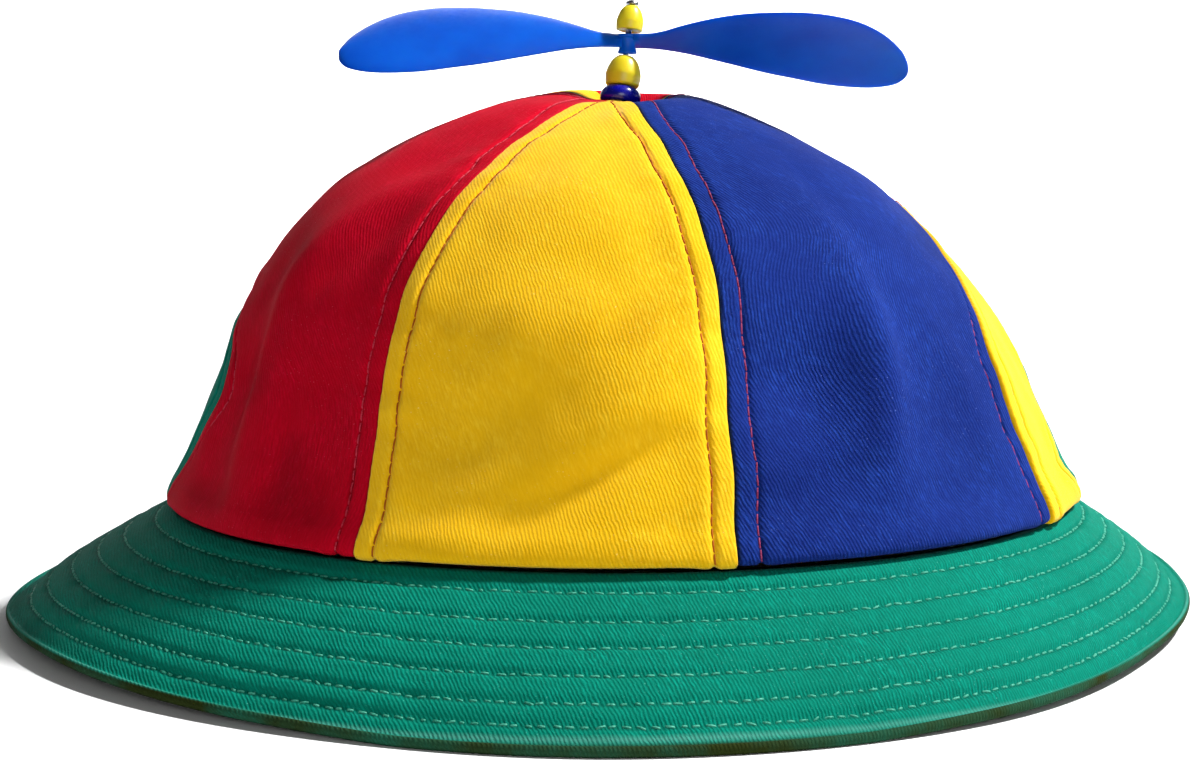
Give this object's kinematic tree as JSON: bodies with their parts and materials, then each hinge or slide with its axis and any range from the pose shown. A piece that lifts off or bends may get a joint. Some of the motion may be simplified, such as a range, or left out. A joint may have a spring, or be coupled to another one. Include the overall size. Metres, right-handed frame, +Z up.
{
  "type": "propeller beanie",
  "caption": "Round cloth beanie with a crown of sewn coloured panels, a flared stitched brim and a two-bladed toy propeller that spins on a pin at the top.",
  "frame": {"origin": "on the surface that the brim rests on, below the middle of the brim in plan", "axes": "+Z up through the crown; -Y towards the front, where the yellow panel is; +X to the right as the front is seen"},
  "size_m": [0.2508, 0.2596, 0.1275],
  "materials": {
    "red_twill": "cotton twill",
    "yellow_twill": "cotton twill",
    "blue_twill": "cotton twill",
    "green_twill": "cotton twill",
    "button_plastic": "glossy",
    "bead_plastic": "glossy",
    "propeller_plastic": "satin",
    "pin_metal": "polished"
  },
  "bodies": {
    "hat": {"crown_panel_1": "green_twill", "crown_panel_2": "red_twill", "crown_panel_3": "yellow_twill", "crown_panel_4": "blue_twill", "crown_panel_5": "yellow_twill", "crown_panel_6": "green_twill", "crown_panel_7": "red_twill", "crown_panel_8": "yellow_twill", "brim": "green_twill", "crown_button": "button_plastic", "lower_bead": "bead_plastic", "upper_bead": "bead_plastic", "pin": "pin_metal"},
    "propeller": {"propeller": "propeller_plastic"}
  },
  "joints": [
    {"name": "propeller_spin", "type": "hinge", "parent": "hat", "child": "propeller", "pos_m": [0.0062, -0.00261, 0.119], "axis": [0.0332, 0, 0.9995], "continuous": true}
  ]
}
